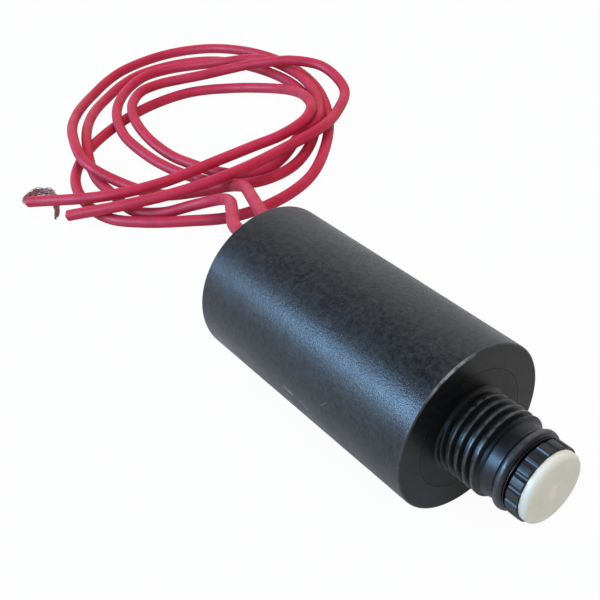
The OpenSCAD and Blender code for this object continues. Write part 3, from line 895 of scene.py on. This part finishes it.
# Ranges for a frayed wire: how far it leans out, its waves in millimetres, how far it falls inwards, and
# the share that is missing at its end
LEANS = (0.4, 1.7)
WAVES = (5, 9)
FALLS = (0.1, 0.45)
SHORTER_BY = (0, 0.12)
# Rings of a lead's cut end: millimetres before the tip, and girth
CUT_END = [(0.5, 1.0), (0.3, 1.0), (0.16, 0.985), (0.07, 0.94), (0.03, 0.87), (0.0, 0.42)]


def in_frame(point):
    """A route's point in metres, in the frame."""
    return Vector((SEAT_X + point[0] * MM, point[1] * MM, point[2] * MM))


def lead_exit(node):
    """Where a lead leaves the compound: the middle of its end in the fill face."""
    within = 0.01 * MM
    ends = [v.co for v in frame["nodes"][node].data.vertices if v.co.x > FILL_FACE - within]
    low, high = (Vector([pick(end[k] for end in ends) for k in range(3)]) for pick in (min, max))
    return (low + high) / 2


def smooth_path(points, steps, floor):
    """A smooth curve through all points, which stays above a floor."""
    first, last = 2 * points[0] - points[1], 2 * points[-1] - points[-2]
    around = [first, *points, last]
    path = []
    for i in range(1, len(around) - 2):
        path += [spline_point(around[i - 1:i + 3], k / steps) for k in range(steps)]
    path.append(points[-1])
    return [Vector((point.x, point.y, max(point.z, floor))) for point in path]


def spline_point(four, share):
    """A point between the middle two of four points, on a centripetal spline."""
    knots = [0.0]
    for a, b in zip(four, four[1:]):
        knots.append(knots[-1] + math.sqrt((b - a).length))
    t = knots[1] + (knots[2] - knots[1]) * share
    level = list(four)
    for spans in (((0, 1), (1, 2), (2, 3)), ((0, 2), (1, 3)), ((1, 2),)):
        level = [a.lerp(b, (t - knots[low]) / (knots[high] - knots[low]))
                 for a, b, (low, high) in zip(level, level[1:], spans)]
    return level[0]


def path_length(path):
    """Length along a path."""
    return sum((b - a).length for a, b in zip(path, path[1:]))


def lead_path(node, route):
    """The middle line of a lead, from the fill face to its cut end."""
    start = lead_exit(node)
    points = [start, start - Vector((LEAD_STRAIGHT, 0, 0)), *(in_frame(p) for p in route)]
    return smooth_path(points, LEAD_STEPS, LEAD_R)


def cut_end(path):
    """Adds the rings of a cut end to a lead's path, and gives the girth at every ring."""
    ahead = (path[-1] - path[-2]).normalized()
    tip = path[-1]
    rings = [tip - ahead * (back * MM) for back, _ in CUT_END]
    girths = [1.0] * (len(path) - 1) + [girth for _, girth in CUT_END]
    return path[:-1] + rings, girths


def frames_along(path):
    """Two directions across a path at each of its points, carried along without twist."""
    across = Vector((0, 0, 1))
    frames = []
    for i in range(len(path)):
        ahead = (path[min(i + 1, len(path) - 1)] - path[max(i - 1, 0)]).normalized()
        across = (across - ahead * across.dot(ahead)).normalized()
        frames.append((across, ahead.cross(across)))
    return frames


def strand_chains(path, fray, seed):
    """Thin wires laid round each other along a path. Frayed ones part half-way and fall inwards."""
    draw = random.Random(seed)
    frames = frames_along(path)
    total = path_length(path)
    chains = []
    for layer, count in enumerate(LAYERS):
        for k in range(count):
            lean = draw.uniform(*LEANS) * fray
            sway = draw.uniform(0, math.tau)
            wave = draw.uniform(*WAVES) * MM
            fall = draw.uniform(*FALLS) * fray
            kept = len(path) - round(draw.uniform(*SHORTER_BY) * fray * len(path))
            chains.append(lay_wire(path[:kept], frames, total, path[-1],
                                   (layer * 2 * WIRE_R, math.tau * k / count, lean, sway, wave, fall)))
    return chains


def lay_wire(path, frames, total, end, wire):
    """One wire of a bundle: its distance and angle from the middle, lean, sway, wave and fall."""
    off, start, lean, sway, wave, fall = wire
    chain, gone = [], 0.0
    for i, point in enumerate(path):
        gone += (point - path[i - 1]).length if i else 0.0
        share = gone / total
        angle = start + math.tau * gone / LAY
        bulge = math.sin(math.pi * share ** 0.8)
        spread = off * (1 + lean * bulge)
        wander = lean * bulge * WIRE_R * 3 * math.sin(gone / wave * math.tau + sway)
        across, over = frames[i]
        middle = point.lerp(path[0].lerp(end, share), fall * bulge)
        spot = middle + across * (spread * math.cos(angle) + wander) + over * spread * math.sin(angle)
        chain.append(Vector((spot.x, spot.y, max(spot.z, WIRE_R))))
    return chain


def draw_strands(name, path, finish, fray, seed):
    """The bare wires of a core, as one piece."""
    chains = strand_chains(path, fray, seed)
    girths = [[1.0] * len(chain) for chain in chains]
    return draw_wires(name, chains, girths, WIRE_R, STRAND_SIDES, finish)


def lay_lead(name, node, route, finish):
    """A lead as one tube along its route, and that tube's ring centres."""
    path, girths = cut_end(lead_path(node, route))
    return draw_wires(name, [path], [girths], LEAD_R, LEAD_SIDES, finish), path


def declare_lead(piece, path, strands, node, strand_node):
    """Hangs a lead and its strands on the coil."""
    dress(piece, "coil", "lead_insulation", node)
    dress(strands, "coil", "tinned_metal", strand_node)
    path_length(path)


def make_leads(red, tinned, compound):
    """Both leads, their bare ends, and the compound round their exits."""
    lead_a, path_a = lay_lead("insulated_lead_a", "lead_a", lead_a_route, red)
    lead_b, path_b = lay_lead("insulated_lead_b", "lead_b", lead_b_route, red)
    ahead_a, ahead_b = ((p[-1] - p[-2]).normalized() for p in (path_a, path_b))
    stub = [path_a[-1] + ahead_a * (STUB * (k / 2 - 1)) for k in range(5)]
    tip = path_b[-1]
    bend = [in_frame(point) for point in strand_b_route]
    bare = smooth_path([tip - ahead_b * STUB, tip, tip + ahead_b * STRAND_STRAIGHT, *bend],
                       STRAND_STEPS, WIRE_R)
    stub_piece = draw_strands("cut_strands_a", stub, tinned, fray=0.0, seed=3)
    bare_piece = draw_strands("bare_strands_b", bare, tinned, fray=FRAY, seed=7)
    declare_lead(lead_a, path_a, stub_piece, "lead_a", "lead_a_strands")
    declare_lead(lead_b, path_b, bare_piece, "lead_b", "lead_b_strands")
    for name, path in (("lead_collar_a", path_a), ("lead_collar_b", path_b)):
        make_collar(name, path[0], compound)


# Turned pieces, in millimetres: the gap that keeps two faces apart, and how far the seat's flange is
# grown, so that its seam is a hairline
HAIR_GAP = 0.02
SEAT_GROWN = 0.06
# The seat's pocket in the housing: radius and depth
POCKET_R = 13.2
POCKET_DEPTH = 3
# The neck's tube: outside radius, bore and end wall
TUBE_R = 5.8
BORE_R = 4.8
END_WALL = 1.5
# The nose: radius, where its taper starts and ends, and the ring's groove in it
NOSE_R = 7.8
TAPER = (10.4, 12.5)
GROOVE_R = 6.4
GROOVE = (12.9, 15.3)
# The fluted carrier: radius, bore, number of flutes, their radius and how far out their middles lie
CARRIER_R = 8
CARRIER_BORE = 3.02
FLUTES = 18
FLUTE_R = 0.7
FLUTE_CENTRE = 8.3
# The seal disc: radius of its spigot, round of its edge, and the raised spot's height and radii
SPIGOT_R = 1.4
DISC_ROUND = 1.1
SPOT_RISE = 0.2
SPOT_FOOT, SPOT_TOP = 1.5, 0.95
# The return spring: radius of its wire, turns, steps of a turn, sides of the wire, and spacing of the
# closed end turns in diameters of the wire
SPRING_WIRE_R = 0.25 * MM
SPRING_TURNS = 7
SPRING_STEPS = 24
SPRING_SIDES = 10
SPRING_CLEAR = 1.05


def outline_of(corners, closed=False):
    """Points of an outline. Its corners give x from the seat face, radius, rounding and rows."""
    placed = [Corner(*corner) for corner in corners]
    return rounded([Corner(SEAT_X + corner.x * MM, corner.r * MM, corner.round * MM, corner.rows)
                    for corner in placed], closed)


def make_housing(finish):
    """The body's cup, with the pocket for the seat in its front."""
    rear = (REAR_X - SEAT_X) / MM
    outer, inner = BODY_R / MM, CAVITY_R / MM + HAIR_GAP
    outline = outline_of([
        (rear, outer, 0.4), (0, outer, 0.4, 24), (0, POCKET_R, 0.04), (-POCKET_DEPTH, POCKET_R),
        (-POCKET_DEPTH, inner), (rear, inner, 0.4)], True)
    dress(turn_piece("housing_cup", outline, finish, steps=192), "coil", "body_plastic", "housing")


def make_neck(finish):
    """The seat's flange, the threaded neck, the nose with the ring's groove, and the tube behind."""
    rear = (TUBE_BACK - SEAT_X) / MM
    nose = (NOSE_END - SEAT_X) / MM
    flange = SEAT_R / MM + SEAT_GROWN
    crest, end = NECK_R / MM, THREAD_END / MM
    outline = outline_of([
        (rear, 0), (rear, TUBE_R, 0.4), (-POCKET_DEPTH, TUBE_R), (-POCKET_DEPTH, flange),
        (0, flange, 0.04), (0, crest, 0.6), (end, crest, 0.1, 140), (TAPER[0], RUNOUT_R / MM, 0.2, 6),
        (TAPER[1], NOSE_R, 0.3), (GROOVE[0], NOSE_R, 0.1), (GROOVE[0], GROOVE_R, 0.1),
        (GROOVE[1], GROOVE_R, 0.1), (GROOVE[1], NOSE_R, 0.06), (nose, NOSE_R, 0.06),
        (nose, BORE_R, 0.12), (rear + END_WALL, BORE_R), (rear + END_WALL, 0)])
    thread = {"Pitch": PITCH, "Crest": SEAT_X + CREST_X, "Thread Start": SEAT_X + THREAD_START,
              "Thread End": SEAT_X + THREAD_END, "Root Radius": ROOT_R, "Runout Radius": RUNOUT_R}
    piece = turn_piece("threaded_neck", outline, finish, steps=168, thread=thread)
    dress(piece, "coil", "neck_plastic", "guide_tube")


def make_sealing_ring(finish):
    """The rubber ring in the nose's groove."""
    section = (RING_FRONT - RING_BACK) / 2
    middle = Vector(((RING_FRONT + RING_BACK) / 2, RING_R - section))
    sides = 28
    turns = [math.tau * k / sides for k in range(sides + 1)]
    outline = [middle + section * Vector((-math.cos(a), math.sin(a))) for a in turns]
    dress(turn_piece("sealing_ring", outline, finish, steps=144), "coil", "ring_rubber", "neck_o_ring")


def make_carrier(finish):
    """The fluted ring that holds the seal disc on the plunger's stem."""
    back, front = ((x - SEAT_X) / MM for x in (CARRIER_BACK, CARRIER_FRONT))
    outline = outline_of([
        (back, CARRIER_BORE, 0.1), (back, CARRIER_R, 0.2), (front, CARRIER_R, 0.14, 6),
        (front, CARRIER_BORE, 0.1)], True)
    flutes = {"Flutes": FLUTES, "Flute Radius": FLUTE_R * MM, "Flute Centre": FLUTE_CENTRE * MM}
    piece = turn_piece("fluted_carrier", outline, finish, steps=384, flutes=flutes)
    dress(piece, "plunger", "carrier_plastic", "seal_carrier")


def make_seal_disc(finish):
    """The seal disc, with its spigot in the carrier and the raised spot on its face."""
    back, front = (CARRIER_FRONT - SEAT_X) / MM + HAIR_GAP, (DISC_FRONT - SEAT_X) / MM
    spigot = (SPIGOT_BACK - SEAT_X) / MM
    rim = DISC_R / MM
    face = front - SPOT_RISE
    outline = outline_of([
        (spigot, 0), (spigot, SPIGOT_R, 0.1), (back, SPIGOT_R), (back, rim, 0.12),
        (face, rim, DISC_ROUND, 4), (face, SPOT_FOOT, 0.2, 8), (front, SPOT_TOP, 0.2), (front, 0)])
    dress(turn_piece("seal_face", outline, finish, steps=120), "plunger", "seal_cream", "seal_disc")


def make_spring(finish):
    """The return spring, with a closed turn at each end."""
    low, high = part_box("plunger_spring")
    coil_r = (high.z - low.z) / 2 - SPRING_WIRE_R
    closed = 2 * SPRING_WIRE_R * SPRING_CLEAR
    room = high.x - low.x - 2 * SPRING_WIRE_R
    pitch = (room - 2 * closed) / (SPRING_TURNS - 2)
    chain = []
    for k in range(SPRING_TURNS * SPRING_STEPS + 1):
        turn = k / SPRING_STEPS
        ends = min(turn, 1) + max(turn - SPRING_TURNS + 1, 0)
        x = low.x + SPRING_WIRE_R + closed * ends + pitch * (turn - ends)
        y = AXIS_Y + coil_r * math.cos(turn * math.tau)
        chain.append(Vector((x, y, AXIS_Z + coil_r * math.sin(turn * math.tau))))
    piece = draw_wires("return_spring", [chain], [[1.0] * len(chain)], SPRING_WIRE_R, SPRING_SIDES,
                       finish)
    dress(piece, "coil", "spring_steel", "plunger_spring")
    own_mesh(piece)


def make_meniscus(finish):
    """The compound's edge, drawn up a little on the inside of the housing."""
    wall = CAVITY_R / MM
    fill = (FILL_FACE - SEAT_X) / MM
    rise, reach = 0.55, 0.9
    outline = outline_of([(fill, wall), (fill - rise, wall), (fill, wall - reach)], True)
    dress(turn_piece("fill_meniscus", outline, finish, steps=144), "coil", "potting")


def make_collar(name, middle, finish):
    """The compound's edge, drawn up a little round a lead."""
    lead = LEAD_R / MM
    fill = (FILL_FACE - SEAT_X) / MM
    rise, reach = 0.8, 0.9
    outline = outline_of([(fill, lead), (fill, lead + reach), (fill - 0.2, lead + 0.35, 0.4),
                          (fill - rise, lead + HAIR_GAP)], True)
    piece = turn_piece(name, outline, finish, steps=48, axis=(middle.y, middle.z))
    dress(piece, "coil", "potting")


def finish_nodes(red, tinned, compound, neck_black):
    """Finishes of the solids that stay as they are."""
    nylon, steel, core = spool_nylon(), plated_steel(), turned_steel()
    finishes = {
        "rear_fill": compound, "coil_spool": nylon, "coil_winding": enamelled_winding(),
        "winding_tape": tape_film(), "flux_sleeve": steel, "front_flux_washer": steel,
        "rear_flux_washer": steel, "pole_piece": core, "plunger": core,
        "shading_ring": copper_band(), "stem_bush": neck_black,
        "terminal_pins": pin_brass(), "splice_ferrules": tinned, "lead_tails": red}
    for name, finish in finishes.items():
        for slot in frame["nodes"][name].material_slots:
            slot.material = finish.material


compound, neck_black = potting(), neck_moulding()
red, tinned = lead_insulation(), tinned_wire()
stand_camera()
lay_floor()
light_studio()
make_leads(red, tinned, compound)
make_housing(black_moulding())
make_neck(neck_black)
make_sealing_ring(ring_rubber())
make_carrier(carrier_moulding())
make_seal_disc(cream_seal())
make_spring(spring_wire())
make_meniscus(compound)
finish_nodes(red, tinned, compound, neck_black)

bpy.context.scene.view_settings.view_transform = "Standard"
